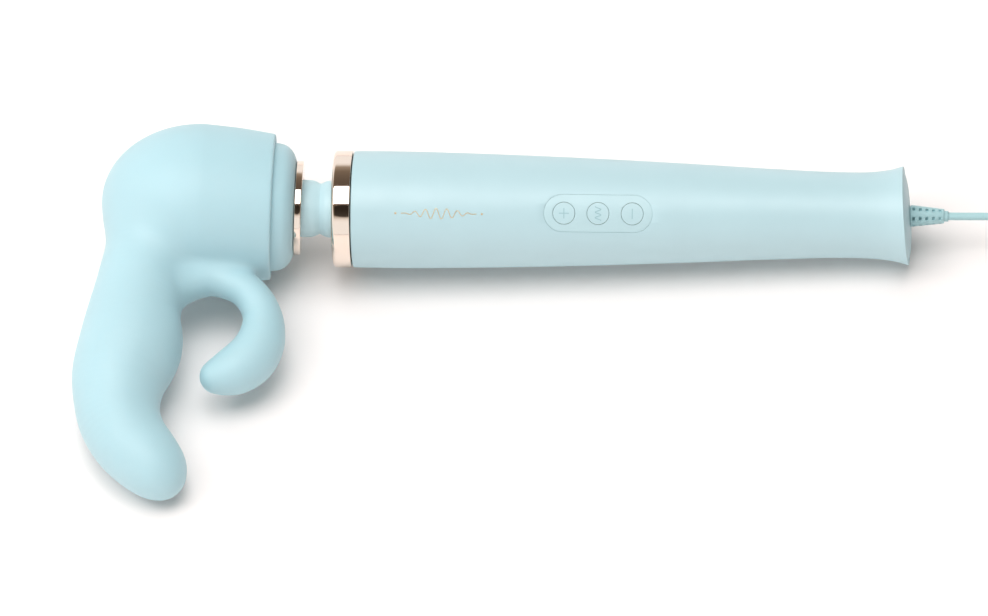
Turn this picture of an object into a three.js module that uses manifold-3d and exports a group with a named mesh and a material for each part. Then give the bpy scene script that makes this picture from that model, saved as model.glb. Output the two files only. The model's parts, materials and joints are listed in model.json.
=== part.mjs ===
// A corded wand massager lying on a table, with a weighted two-armed silicone sleeve on its head.
// Millimetres, +Z up. The handle runs along X with its tail at +X; the sleeve's arms reach towards -Y.
// The handle ("wand" group) and the head share one origin, the middle of the flexible neck between them.
import * as THREE from "three";
import { mergeVertices } from "three/addons/utils/BufferGeometryUtils.js";
import Module from "manifold-3d";

const wasm = await Module();
wasm.setup();

// ---------------------------------------------------------------- driving dimensions

const GAP = 0.3; // between pieces that touch
const SIDES = 36; // facets round a large turned piece that shows
const INNER_SIDES = 24; // facets round a smaller one, or one that doesn't show

// How the object lies: the handle slopes down to its tail and is rolled so that its keypad faces up and
// towards -Y. The neck is bent a little both ways, and the sleeve is turned until its long arm meets the table.
const HANDLE_SLOPE = THREE.MathUtils.degToRad(2.05);
const HANDLE_ROLL = THREE.MathUtils.degToRad(40.7);
const NECK_SIDE_BEND = THREE.MathUtils.degToRad(-1.7);
const NECK_UP_BEND = THREE.MathUtils.degToRad(2.1);
const SLEEVE_TURN = THREE.MathUtils.degToRad(-31.15);

// Handle, measured along its axis from the middle of the neck.
const COLLAR_START = 6.3;
const COLLAR_END = 14.4;
const COLLAR_RADIUS = 25.4;
const HANDLE_START = 14.8;
const HANDLE_END = 255;
const HANDLE_WALL = 2.2;
const HANDLE_OUTLINE = [
  [HANDLE_START, 25.3],
  [40, 25.3],
  [80, 24.5],
  [120, 23.2],
  [160, 21.5],
  [200, 19.5],
  [226, 18.6],
  [240, 18.8],
  [249, 19.9],
  [HANDLE_END, 21.5],
];

// Keypad on the handle's upper side.
const KEYPAD_CENTRE = 122.3;
const KEYPAD_LENGTH = 47;
const KEYPAD_WIDTH = 16.2;
const BUTTON_PITCH = 14.8;
const BUTTON_RADIUS = 4.7;
const BUTTON_HOLE = 5;
const BUTTON_TRAVEL = 0.4;

// Neck.
const NECK_RADIUS = 12.4;
const NECK_GROOVE = 0.2; // where the two folds of the boot meet, along the axis
const NECK_GROOVE_RADIUS = 10.9;

// Head, measured forwards from the middle of the neck.
const HEAD_RING_BACK = 7.6;
const HEAD_RING_FRONT = 10.6;
const HEAD_RING_RADIUS = 20.5;
const HEAD_RADIUS = 27.9;
const HEAD_DOME_START = 60;
const HEAD_TIP = 83.5;
const HEAD_SKIN = 2.7;

// Sleeve over the head.
const SLEEVE_RIM = 20.3;
const SLEEVE_RIM_RADIUS = 31.6;
const SLEEVE_WIDEST = 51;
const SLEEVE_RADIUS = 34.8;
const SLEEVE_TIP = 94.8;

// The centre lines of the arms: [forwards along the head's axis, out from it, radius].
const LONG_ARM = [
  [72.1, 16.9, 18],
  [74.3, 30.8, 18.6],
  [76.2, 44.5, 19.3],
  [78.1, 59.4, 20.6],
  [78.6, 72.1, 22.5],
  [82.4, 86.4, 20.7],
  [82.9, 98.1, 18.9],
  [81.3, 108.6, 17.8],
  [76.3, 118.9, 16.7],
  [69.6, 126.8, 15.5],
  [64.8, 131.9, 13.7],
  [62.6, 134.6, 11.6],
];
const CURLED_ARM = [
  [58.4, 39.6, 9.6],
  [52, 37.5, 8.8],
  [45, 36.5, 8.1],
  [38.1, 38, 7.8],
  [31, 41.4, 7.7],
  [25.2, 47.8, 8],
  [22, 55.8, 8.7],
  [21.7, 63, 9.8],
  [22.9, 69.4, 10.7],
  [26.2, 76, 11.3],
  [31.9, 81.4, 10.8],
  [36.7, 84, 9.2],
  [40.3, 85.4, 7.6],
];

// Motor in the handle.
const MOTOR_START = 30;
const MOTOR_END = 84;
const MOTOR_RADIUS = 17.8;
const SHAFT_RADIUS = 1.6;

// Supply cord, and where it leaves its strain relief along the handle's axis.
const CORD_RADIUS = 1.7;
const RELIEF_END = 272.4;

// The cord's way from the strain relief down to the table and up to the coil, as [x, y, z] on the table.
const CORD_ROUTE = [
  [198, 54.9, 20.5],
  [208, 54.9, 20],
  [219, 54.9, 16.4],
  [231, 54.9, 10.1],
  [243, 54.8, 4.8],
  [254, 54.7, 2.4],
  [265, 54.7, 1.8],
  [279.5, 54.9, 2.4],
];

// The spare length is wound into a round coil on the table, with its turns side by side in layers.
const COIL_CENTRE = [294, 27.6];
const COIL_INNER = 11.8;
const COIL_OUTER = 29.2;
const COIL_BOTTOM = 1.3;
const COIL_TOP = 15.3;

// From the coil's top layer down to the table, round in a half turn and up to the adapter.
const TAIL_ROUTE = [
  [279.9, 0.1, 13.4],
  [270, 0.1, 12.4],
  [260, 0.1, 9],
  [250, -0.2, 4.8],
  [240, -2, 2.3],
  [231.5, -7.4, 1.8],
  [228, -15.9, 1.8],
  [231, -23.9, 2.2],
  [237.5, -29, 4.9],
  [245.6, -29.9, 7.4],
];

// Plug-in adapter, lying on its back beside the coil with its cable end towards the handle.
const ADAPTER_START = 262;
const ADAPTER_Y = -29.9;
const ADAPTER_SIZE = [62, 40, 27];
const ADAPTER_EXIT_HEIGHT = 7.5;
const ADAPTER_WALL = 2;
const BLADE_SPACING = 12.7;

// ---------------------------------------------------------------- materials

const paint = (color, roughness, metalness = 0) => new THREE.MeshStandardMaterial({ color, roughness, metalness });
const aquaPlastic = paint(0xb9dfe6, 0.42);
const aquaSilicone = paint(0xaee0ea, 0.55);
const aquaRubber = paint(0xa6d3da, 0.6);
const roseGold = paint(0xe2b79a, 0.15, 1);
const steel = paint(0xb8babd, 0.3, 1);
const brass = paint(0xc9a45c, 0.35, 1);
const copper = paint(0xb5683a, 0.4, 1);
const blackPlastic = paint(0x1d1d1f, 0.5);
const whitePlastic = paint(0xe9ebec, 0.4);
const greyRubber = paint(0x6d7073, 0.8);
const boardGreen = paint(0x1f6b45, 0.5);
const redWire = paint(0xb3261f, 0.5);

// ---------------------------------------------------------------- making and cutting solids

const v2 = (x, y) => new THREE.Vector2(x, y);
const v3 = (x, y, z) => new THREE.Vector3(x, y, z);

// A closed geometry as a manifold-3d solid.
function solidOf(geometry) {
  const bare = geometry.clone();
  for (const name of Object.keys(bare.attributes)) {
    if (name !== "position") bare.deleteAttribute(name);
  }
  const merged = mergeVertices(bare, 1e-4);
  return new wasm.Manifold(
    new wasm.Mesh({
      numProp: 3,
      vertProperties: new Float32Array(merged.attributes.position.array),
      triVerts: new Uint32Array(merged.index.array),
    }),
  );
}

function geometryOf(solid) {
  const mesh = solid.getMesh();
  const geometry = new THREE.BufferGeometry();
  geometry.setAttribute("position", new THREE.BufferAttribute(new Float32Array(mesh.vertProperties), 3));
  geometry.setIndex(new THREE.BufferAttribute(new Uint32Array(mesh.triVerts), 1));
  geometry.computeVertexNormals();
  return geometry;
}

const combine = (operation) => (first, ...others) =>
  geometryOf(others.reduce((solid, other) => solid[operation](solidOf(other)), solidOf(first)));
const join = combine("add");
const cut = combine("subtract");
const common = combine("intersect");

// A body turned about X. The outline is a list of [x, radius], in either direction round.
function turned(outline, sides = SIDES) {
  const points = outline.map(([x, r]) => v2(r, x));
  const loop = [...points];
  if (THREE.ShapeUtils.area(loop) < 0) points.reverse();
  const onAxis = points[0].x === 0 && points.at(-1).x === 0;
  if (!onAxis) points.push(points[0].clone());
  return new THREE.LatheGeometry(points, sides).rotateZ(-Math.PI / 2);
}

// The same for the head's pieces, whose outlines are measured forwards, towards -X.
const turnedForwards = (outline, sides = SIDES) => turned(outline.map(([s, r]) => [-s, r]), sides);

// A flat ring standing on the table.
const uprightRing = (bottom, top, inner, outer, sides) =>
  ring(bottom, top, inner, outer, sides).rotateY(-Math.PI / 2);

const ring = (start, end, inner, outer, sides = INNER_SIDES) =>
  turned([[start, inner], [start, outer], [end, outer], [end, inner]], sides);
const ringForwards = (start, end, inner, outer, sides = INNER_SIDES) =>
  ring(-end, -start, inner, outer, sides);
const rod = (start, end, radius, sides = INNER_SIDES) =>
  turned([[start, 0], [start, radius], [end, radius], [end, 0]], sides);

const block = (x, y, z, centre) => new THREE.BoxGeometry(x, y, z).translate(...centre);
const upright = (radius, bottom, top, x, y = 0, sides = INNER_SIDES) =>
  new THREE.CylinderGeometry(radius, radius, top - bottom, sides)
    .rotateX(Math.PI / 2)
    .translate(x, y, (bottom + top) / 2);

// A quarter ellipse from [start, radius] to [tip, 0], as outline points.
function dome(start, radius, tip, steps) {
  return Array.from({ length: steps + 1 }, (_, i) => {
    const a = (i / steps) * (Math.PI / 2);
    return [start + (tip - start) * Math.sin(a), i === steps ? 0 : radius * Math.cos(a)];
  });
}

// A tube along a smooth curve through the points.
function tube(points, radius, sides = 8, steps = 40) {
  const section = new THREE.Shape(
    Array.from({ length: sides }, (_, i) => {
      const a = (i / sides) * 2 * Math.PI;
      return v2(radius * Math.cos(a), radius * Math.sin(a));
    }),
  );
  const extrudePath = new THREE.CatmullRomCurve3(points.map((p) => v3(...p)));
  return new THREE.ExtrudeGeometry(section, { steps, extrudePath, bevelEnabled: false });
}

// A slot-shaped prism that stands on the handle: straight sides and round ends along X.
function slotPrism(centre, length, width, bottom, top) {
  const r = width / 2;
  const half = length / 2 - r;
  const outline = new THREE.Shape();
  outline.absarc(half, 0, r, -Math.PI / 2, Math.PI / 2);
  outline.absarc(-half, 0, r, Math.PI / 2, (3 * Math.PI) / 2);
  const prism = new THREE.ExtrudeGeometry(outline, {
    depth: top - bottom,
    bevelEnabled: false,
    curveSegments: 12,
  });
  return prism.translate(centre, 0, bottom);
}

// ---------------------------------------------------------------- the group and its nodes

const part = new THREE.Group();
const assembly = new THREE.Group();
const wand = new THREE.Group();
const neck = new THREE.Group();
const head = new THREE.Group();
const sleeve = new THREE.Group();
const onTable = new THREE.Group();
wand.name = "wand";
neck.name = "neck";
head.name = "head";
sleeve.name = "sleeve_frame";
wand.rotation.set(HANDLE_ROLL, HANDLE_SLOPE, 0, "YXZ");
neck.rotation.set(0, NECK_UP_BEND / 2, NECK_SIDE_BEND / 2, "ZYX");
head.rotation.set(0, NECK_UP_BEND, NECK_SIDE_BEND, "ZYX");
sleeve.rotation.x = SLEEVE_TURN;
part.add(assembly, onTable);
assembly.add(wand);
wand.add(neck, head);
head.add(sleeve);

function add(group, name, geometry, material) {
  const mesh = new THREE.Mesh(geometry, material);
  mesh.name = name;
  group.add(mesh);
  return mesh;
}

// ---------------------------------------------------------------- handle casing

const outlineCurve = new THREE.SplineCurve(HANDLE_OUTLINE.map(([x, r]) => v2(x, r)));
const outlineSamples = outlineCurve.getPoints(9);

// The casing's outer radius at x.
function handleRadius(x) {
  const i = Math.max(1, outlineSamples.findIndex((p) => p.x >= x));
  const [a, b] = [outlineSamples[i - 1], outlineSamples[i]];
  return a.y + ((b.y - a.y) * (x - a.x)) / (b.x - a.x);
}

// A turned layer of the casing's wall at the given stations, between two depths under its surface.
function casingLayer(stations, outerDepth, innerDepth, sides = SIDES) {
  const outer = stations.map((x) => [x, handleRadius(x) - outerDepth]);
  const inner = stations.map((x) => [x, handleRadius(x) - innerDepth]);
  return turned([...outer, ...inner.reverse()], sides);
}

const evenly = (start, end, steps) => Array.from({ length: steps + 1 }, (_, i) => start + ((end - start) * i) / steps);

const LONG = 600; // a cutting block's side, larger than anything it cuts
const upperHalf = block(LONG, LONG, LONG, [0, 0, LONG / 2 + GAP / 2]);
const lowerHalf = block(LONG, LONG, LONG, [0, 0, -LONG / 2 - GAP / 2]);

function addCasing() {
  const casing = casingLayer(outlineSamples.map((p) => p.x), 0, HANDLE_WALL);
  const opening = slotPrism(KEYPAD_CENTRE, KEYPAD_LENGTH + 2 * GAP, KEYPAD_WIDTH + 2 * GAP, 10, 40);
  const post = (x) => cut(upright(2.6, 15.3, 22, x), upright(1.4, 15, 19.5, x));
  const upper = cut(common(casing, upperHalf), opening);
  add(wand, "handle_upper_shell", join(upper, post(BOARD_SCREWS[0]), post(BOARD_SCREWS[1])), aquaPlastic);
  add(wand, "handle_lower_shell", common(casing, lowerHalf), aquaPlastic);

  add(
    wand,
    "collar_ring",
    turned([
      [COLLAR_START, 13.4],
      [COLLAR_START, COLLAR_RADIUS - 1.7],
      [COLLAR_START + 0.5, COLLAR_RADIUS - 0.5],
      [COLLAR_START + 1.7, COLLAR_RADIUS],
      [COLLAR_END, COLLAR_RADIUS],
      [COLLAR_END, 23.1],
      [9, 23.1],
      [9, 13.4],
    ]),
    roseGold,
  );

  // The domed end cap sits inside the flare, with a hole for the strain relief.
  const capRadius = handleRadius(HANDLE_END) - HANDLE_WALL - GAP;
  const capStart = HANDLE_END - 3.4;
  add(
    wand,
    "tail_cap",
    turned([
      [capStart, 4.4],
      [capStart, handleRadius(capStart) - HANDLE_WALL - GAP],
      [HANDLE_END - 0.4, capRadius],
      [HANDLE_END + 0.7, capRadius - 5],
      [HANDLE_END + 1.4, capRadius - 10],
      [HANDLE_END + 1.6, 4.4],
    ], INNER_SIDES),
    aquaPlastic,
  );
}

// ---------------------------------------------------------------- keypad and control board

const BOARD_TOP = 15;
const BOARD_THICKNESS = 1.6;
const BOARD_SPAN = [91, 153];
const BOARD_SCREWS = [94.4, 149.2];
const buttonPlaces = { plus: -1, mode: 0, minus: 1 };
const buttonX = (name) => KEYPAD_CENTRE + buttonPlaces[name] * BUTTON_PITCH;

function addKeypad() {
  const from = KEYPAD_CENTRE - KEYPAD_LENGTH / 2 - 2;
  const to = KEYPAD_CENTRE + KEYPAD_LENGTH / 2 + 2;
  const pad = common(
    casingLayer(evenly(from, to, 2), 0.15, 2, 48),
    slotPrism(KEYPAD_CENTRE, KEYPAD_LENGTH, KEYPAD_WIDTH, 10, 40),
  );
  const holes = Object.keys(buttonPlaces).map((name) => upright(BUTTON_HOLE, 10, 40, buttonX(name)));
  add(wand, "keypad_pad", cut(pad, ...holes), aquaSilicone);

  for (const name of Object.keys(buttonPlaces)) {
    const x = buttonX(name);
    const top = common(casingLayer([x - 8, x + 8], 0.05, 2.6, 48), upright(BUTTON_RADIUS, 10, 40, x));
    const stemTop = handleRadius(x) - 2;
    add(wand, name + "_button", join(top, upright(1.8, 19 + BUTTON_TRAVEL + GAP, stemTop, x, 0, 16)), aquaSilicone);
    add(
      wand,
      name + "_switch",
      join(
        block(6, 6, 3.2, [x, 0, BOARD_TOP + GAP + 1.6]),
        upright(1.5, BOARD_TOP + 3, 19, x, 0, 16),
      ),
      blackPlastic,
    );
  }
}

function addBoard() {
  const [start, end] = BOARD_SPAN;
  const under = BOARD_TOP - BOARD_THICKNESS - GAP;
  const board = block(end - start, 20, BOARD_THICKNESS, [(start + end) / 2, 0, BOARD_TOP - BOARD_THICKNESS / 2]);
  const holes = BOARD_SCREWS.map((x) => upright(1.5, 0, 30, x, 0, 16));
  add(wand, "control_board", cut(board, ...holes), boardGreen);
  BOARD_SCREWS.forEach((x, i) => {
    const screw = join(upright(1.1, under - 0.5, 19, x, 0, 12), upright(2.2, under - 1.6, under, x, 0, 16));
    add(wand, "board_screw_" + (i + 1), screw, steel);
  });
  add(wand, "controller_chip", block(9, 9, 1.4, [121, 0, under - 0.7]), blackPlastic);
  add(wand, "supply_connector", block(6, 9, 6, [141, 0, under - 3]), whitePlastic);
  add(wand, "motor_connector", block(5, 8, 5, [103, 0, under - 2.5]), whitePlastic);
  add(wand, "smoothing_capacitor", rod(126.5, 137, 3.6, 20).translate(0, 0, under - 3.6), blackPlastic);
}

// ---------------------------------------------------------------- motor and drive

function addMotor() {
  add(
    wand,
    "motor_can",
    turned([
      [MOTOR_START, 3],
      [MOTOR_START, MOTOR_RADIUS],
      [MOTOR_END, MOTOR_RADIUS],
      [MOTOR_END, MOTOR_RADIUS - 1.5],
      [MOTOR_START + 1.5, MOTOR_RADIUS - 1.5],
      [MOTOR_START + 1.5, 3],
    ], INNER_SIDES),
    steel,
  );
  add(
    wand,
    "motor_end_bell",
    turned([
      [MOTOR_END - 3, 2],
      [MOTOR_END - 3, MOTOR_RADIUS - 1.5 - GAP],
      [MOTOR_END + GAP, MOTOR_RADIUS - 1.5 - GAP],
      [MOTOR_END + GAP, MOTOR_RADIUS],
      [MOTOR_END + 2, MOTOR_RADIUS],
      [MOTOR_END + 2, 2],
    ], INNER_SIDES),
    blackPlastic,
  );
  const magnets = ring(38, 76, 13.9, MOTOR_RADIUS - 1.5 - GAP);
  const side = (sign) => block(60, 60, 60, [57, 0, sign * (30 + 5)]);
  add(wand, "upper_magnet", common(magnets, side(1)), greyRubber);
  add(wand, "lower_magnet", common(magnets, side(-1)), greyRubber);

  const cushion = (start, end) => ring(start, end, MOTOR_RADIUS + GAP, handleRadius(end) - HANDLE_WALL - GAP);
  add(wand, "front_motor_cushion", cushion(33, 41), greyRubber);
  add(wand, "rear_motor_cushion", cushion(73, 81), greyRubber);

  add(
    wand,
    "armature",
    turned([
      [38, SHAFT_RADIUS + GAP],
      [38, 8],
      [42, 11],
      [42, 13.4],
      [70, 13.4],
      [70, 11],
      [74, 8],
      [74, SHAFT_RADIUS + GAP],
    ], INNER_SIDES),
    copper,
  );
  add(wand, "commutator", ring(74.6, 79.5, SHAFT_RADIUS + GAP, 4.6), copper);
  // The bell's tags are joined to the board by two wires.
  for (const [name, side, material] of [["red", 1, redWire], ["black", -1, blackPlastic]]) {
    const route = [
      [MOTOR_END + 2.4, side * 7, 0],
      [91, side * 7, 1],
      [95.5, side * 4, 8],
      [100.2, side * 2, 10.6],
    ];
    add(wand, name + "_motor_wire", tube(route, 0.8, 6, 12), material);
  }
  add(wand, "motor_shaft", rod(20.6, MOTOR_END + 4, SHAFT_RADIUS, 16), steel);
  add(wand, "shaft_coupling", ring(16.4, 25, SHAFT_RADIUS + GAP, 4.2, 16), brass);
}

// ---------------------------------------------------------------- neck

function addNeck() {
  add(
    wand,
    "neck_flange",
    turned([
      [9.3, 4.6],
      [9.3, 22.8],
      [22, 22.8],
      [22, 20.6],
      [12.3, 20.6],
      [12.3, 4.6],
    ], INNER_SIDES),
    blackPlastic,
  );

  // The boot is two soft folds that meet in a groove; a coil spring inside them carries the head.
  add(
    neck,
    "neck_boot_front",
    turned([
      [-13.2, NECK_RADIUS - 1.4],
      [-13.2, NECK_RADIUS],
      [-4.5, NECK_RADIUS],
      [-2.1, NECK_RADIUS - 0.5],
      [NECK_GROOVE - GAP / 2, NECK_GROOVE_RADIUS + 0.3],
      [NECK_GROOVE - GAP / 2, NECK_GROOVE_RADIUS - 0.5],
      [-3.5, NECK_RADIUS - 1.4],
    ], INNER_SIDES),
    aquaSilicone,
  );
  add(
    neck,
    "neck_boot_rear",
    turned([
      [NECK_GROOVE + GAP / 2, NECK_GROOVE_RADIUS - 0.5],
      [NECK_GROOVE + GAP / 2, NECK_GROOVE_RADIUS + 0.3],
      [2.1, NECK_RADIUS - 0.4],
      [4.1, NECK_RADIUS],
      [8.6, NECK_RADIUS],
      [8.6, NECK_RADIUS - 1.4],
      [2.5, NECK_RADIUS - 1.4],
    ], INNER_SIDES),
    aquaSilicone,
  );

  const turns = 4;
  const [start, end, radius] = [-10.4, 7.2, 8.2];
  const helix = Array.from({ length: 10 * turns + 1 }, (_, i) => {
    const a = (i / 10) * 2 * Math.PI;
    return [start + ((end - start) * i) / (10 * turns), radius * Math.cos(a), radius * Math.sin(a)];
  });
  add(neck, "neck_spring", tube(helix, 1.1, 6, 10 * turns), steel);

  // The flexible shaft runs from the motor's coupling, on the handle's axis, to the head's, on its axis.
  const toHead = new THREE.Matrix4().makeRotationFromEuler(head.rotation);
  const inHead = (s) => v3(-s, 0, 0).applyMatrix4(toHead).toArray();
  const route = [[20, 0, 0], [12, 0, 0], [5, 0, 0], inHead(5), inHead(12), inHead(17.4)];
  add(wand, "flexible_shaft", tube(route, SHAFT_RADIUS - 0.1, 8, 12), steel);
}

// ---------------------------------------------------------------- head

function addHead() {
  add(
    head,
    "head_ring",
    turnedForwards([
      [HEAD_RING_BACK, 13.6],
      [HEAD_RING_BACK, HEAD_RING_RADIUS - 0.4],
      [HEAD_RING_BACK + 0.4, HEAD_RING_RADIUS],
      [HEAD_RING_FRONT, HEAD_RING_RADIUS],
      [HEAD_RING_FRONT, 13.6],
    ]),
    roseGold,
  );
  add(
    head,
    "head_skin",
    turnedForwards([
      [10.9, 14],
      [10.9, 21.1],
      [12.5, 24.4],
      [15.1, 26.9],
      [18.9, HEAD_RADIUS],
      ...dome(HEAD_DOME_START, HEAD_RADIUS, HEAD_TIP, 6),
      ...dome(HEAD_DOME_START, HEAD_RADIUS - HEAD_SKIN, HEAD_TIP - HEAD_SKIN, 5).reverse(),
      [20, HEAD_RADIUS - HEAD_SKIN],
      [13.5, 21],
      [13.5, 14],
    ], INNER_SIDES),
    aquaSilicone,
  );

  const coreRadius = HEAD_RADIUS - HEAD_SKIN - GAP;
  add(
    head,
    "head_core_rear",
    turnedForwards([
      [13.8, 4.6],
      [13.8, 20.7],
      [20.6, coreRadius],
      [44, coreRadius],
      [44, coreRadius - 2.5],
      [22.5, coreRadius - 2.5],
      [18, 19],
      [18, 11],
      [24, 11],
      [24, 8.3],
      [18.6, 8.3],
      [18.6, 5],
      [16, 5],
      [16, 4.6],
    ], INNER_SIDES),
    whitePlastic,
  );
  add(
    head,
    "head_core_front",
    turnedForwards([
      [44 + GAP, coreRadius - 2.5],
      [44 + GAP, coreRadius],
      ...dome(HEAD_DOME_START, coreRadius, HEAD_TIP - HEAD_SKIN - GAP, 5),
      [68, 0],
      [68, 8.3],
      [62, 8.3],
      [62, 11],
      [66, 13],
      [66, 18.5],
      [60, coreRadius - 2.5],
    ], INNER_SIDES),
    whitePlastic,
  );

  const bearing = (name, start) => {
    add(head, name + "_bearing_outer", ringForwards(start, start + 5, 5.3, 8), steel);
    add(head, name + "_bearing_inner", ringForwards(start, start + 5, 2.7, 5), steel);
  };
  bearing("rear", 18.9);
  bearing("front", 62.7);
  add(head, "eccentric_shaft", rod(-67.5, -18, 2.4, 16), steel);
  add(head, "head_coupling", ringForwards(13.4, 17.7, SHAFT_RADIUS + GAP, 4.2, 16), brass);
  const half = block(60, 60, 60, [-42, 30.5, 0]);
  const lobe = cut(common(rod(-56, -30, 16, 32), half), rod(-60, -20, 4, 20));
  add(head, "eccentric_weight", join(lobe, ringForwards(30, 56, 2.7, 6, 20)), brass);
}

// ---------------------------------------------------------------- sleeve

// A round limb that follows a plane curve. Each point is [forwards, out, radius], and its end is rounded.
function limb(points, steps, sides) {
  const curve = new THREE.CatmullRomCurve3(points.map(([s, out, r]) => v3(-s, -out, r)));
  const stations = Array.from({ length: steps + 1 }, (_, i) => {
    const p = curve.getPoint(i / steps);
    const t = curve.getTangent(i / steps);
    const along = v2(t.x, t.y).normalize();
    return { centre: v2(p.x, p.y), along, radius: p.z };
  });
  const last = stations.at(-1);
  const capSteps = 5;
  for (let i = 1; i <= capSteps; i++) {
    const a = (i / capSteps) * (Math.PI / 2);
    const centre = last.centre.clone().addScaledVector(last.along, last.radius * Math.sin(a));
    stations.push({ centre, along: last.along, radius: last.radius * Math.cos(a) });
  }
  const top = stations.length - 1;
  const profile = [v2(0, 0), ...stations.slice(0, top).map((_, j) => v2(1, j)), v2(0, top)];
  const geometry = new THREE.LatheGeometry(profile, sides);
  const position = geometry.attributes.position;
  for (let i = 0; i < position.count; i++) {
    const { centre, along, radius } = stations[Math.round(position.getY(i))];
    const side = position.getX(i) * radius;
    position.setXYZ(i, centre.x + side * along.y, centre.y - side * along.x, position.getZ(i) * radius);
  }
  return geometry;
}

function addSleeve() {
  const cup = turnedForwards([
    [SLEEVE_RIM, 0],
    [SLEEVE_RIM, SLEEVE_RIM_RADIUS],
    [35, 33.6],
    ...dome(SLEEVE_WIDEST, SLEEVE_RADIUS, SLEEVE_TIP, 8),
  ], 32);
  const room = turnedForwards([
    [SLEEVE_RIM - 5, 0],
    [SLEEVE_RIM - 5, HEAD_RADIUS + GAP],
    ...dome(HEAD_DOME_START, HEAD_RADIUS + GAP, HEAD_TIP + GAP, 6),
  ], 28);
  const body = join(cup, limb(LONG_ARM, 15, 20), limb(CURLED_ARM, 18, 14));
  add(sleeve, "sleeve", cut(body, room), aquaSilicone);
}

// ---------------------------------------------------------------- supply cord

// The strain relief is held in the tail cap's hole by a flange behind it.
function addSupply() {
  const capFace = HANDLE_END + 1.6;
  add(
    wand,
    "cord_strain_relief",
    turned([
      [246.5, CORD_RADIUS + GAP],
      [246.5, 7],
      [HANDLE_END - 3.7, 7],
      [HANDLE_END - 3.7, 4.1],
      [capFace + GAP, 4.1],
      [capFace + GAP, 4.8],
      [RELIEF_END - 1, 3.1],
      [RELIEF_END, 2.6],
      [RELIEF_END, CORD_RADIUS + GAP],
    ], 16),
    aquaRubber,
  );
  add(
    wand,
    "cord_clamp",
    cut(block(8, 14, 17, [236, 0, -6]), rod(230, 242, CORD_RADIUS + GAP, 12)),
    blackPlastic,
  );
  const inside = [
    [RELIEF_END - 0.2, 0, 0],
    [250, 0, 0],
    [230, 0, 0],
    [205, 0, 1],
    [175, 0, 6],
    [158, 0, 7.8],
    [144.4, 0, 8.9],
  ];
  add(wand, "cord_in_handle", tube(inside, CORD_RADIUS, 8, 16), aquaRubber);
}

function addCord() {
  const exit = v3(RELIEF_END + 0.1, 0, 0).applyMatrix4(wand.matrixWorld).toArray();
  const further = v3(RELIEF_END + 4, 0, 0).applyMatrix4(wand.matrixWorld).toArray();
  add(onTable, "cord_lead", tube([exit, further, ...CORD_ROUTE], CORD_RADIUS, 8, 16), aquaRubber);

  const coil = uprightRing(COIL_BOTTOM, COIL_TOP, COIL_INNER, COIL_OUTER, SIDES);
  add(onTable, "cord_coil", coil.translate(...COIL_CENTRE, 0), aquaRubber);
  add(onTable, "cord_tail", tube(TAIL_ROUTE, CORD_RADIUS, 8, 24), aquaRubber);

  // A soft strap ties the coil's turns together on its far side.
  const band = (from, to, bottom, top) => block(to - from, 6, top - bottom, [(from + to) / 2, 0, (bottom + top) / 2]);
  const strap = cut(
    band(COIL_INNER - 1.8, COIL_OUTER + 1.3, 0, COIL_TOP + 1.3),
    band(COIL_INNER - 0.8, COIL_OUTER + 0.3, COIL_BOTTOM - 0.3, COIL_TOP + 0.3).scale(1, 2, 1),
  );
  add(onTable, "cord_tie", strap.translate(...COIL_CENTRE, 0), blackPlastic);
}

function addAdapter() {
  const [length, width, height] = ADAPTER_SIZE;
  const middle = ADAPTER_START + length / 2;
  const seam = height / 2;
  const wall = ADAPTER_WALL;
  const shell = (bottom, top, floor) =>
    cut(
      block(length, width, top - bottom, [middle, ADAPTER_Y, (bottom + top) / 2]),
      block(length - 2 * wall, width - 2 * wall, height, [middle, ADAPTER_Y, floor]),
      rod(ADAPTER_START - 5, ADAPTER_START + 5, 3.2, 16).translate(0, ADAPTER_Y, ADAPTER_EXIT_HEIGHT),
    );
  add(onTable, "adapter_back_shell", shell(0, seam - GAP / 2, wall + height / 2), blackPlastic);
  const blades = [-1, 1].map((side) => side * (BLADE_SPACING / 2));
  const bladeX = ADAPTER_START + length - 18;
  const front = shell(seam + GAP / 2, height, height / 2 - wall);
  const slots = blades.map((y) => block(7, 2.1, 10, [bladeX, ADAPTER_Y + y, height]));
  add(onTable, "adapter_front_shell", cut(front, ...slots), blackPlastic);
  const blade = (y) => block(6.4, 1.5, 21, [bladeX, ADAPTER_Y + y, height - 4 + 10.5]);
  const bar = block(6.4, BLADE_SPACING + 6, 2.5, [bladeX, ADAPTER_Y, height - 5]);
  add(onTable, "adapter_blades", join(bar, ...blades.map(blade)), steel);
  add(
    onTable,
    "adapter_strain_relief",
    turned([
      [ADAPTER_START - 16, CORD_RADIUS + GAP],
      [ADAPTER_START - 16, 2.6],
      [ADAPTER_START - 0.3, 4.4],
      [ADAPTER_START - 0.3, 2.9],
      [ADAPTER_START + 2.3, 2.9],
      [ADAPTER_START + 2.3, 4.6],
      [ADAPTER_START + 4, 4.6],
      [ADAPTER_START + 4, CORD_RADIUS + GAP],
    ], 16).translate(0, ADAPTER_Y, ADAPTER_EXIT_HEIGHT),
    blackPlastic,
  );
}

// The origin is under the middle of the object without its cord, on the table.
function centreOnTable() {
  const box = new THREE.Box3().setFromObject(assembly, true);
  const middle = box.getCenter(v3(0, 0, 0));
  assembly.position.set(-middle.x, -middle.y, -box.min.z);
  part.updateMatrixWorld(true);
}

addCasing();
addKeypad();
addBoard();
addMotor();
addNeck();
addHead();
addSleeve();
addSupply();
centreOnTable();
addCord();
addAdapter();

export default part;
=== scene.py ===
import json
import math

import bmesh
import bpy
import numpy as np
from mathutils import Matrix, Vector


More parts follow.
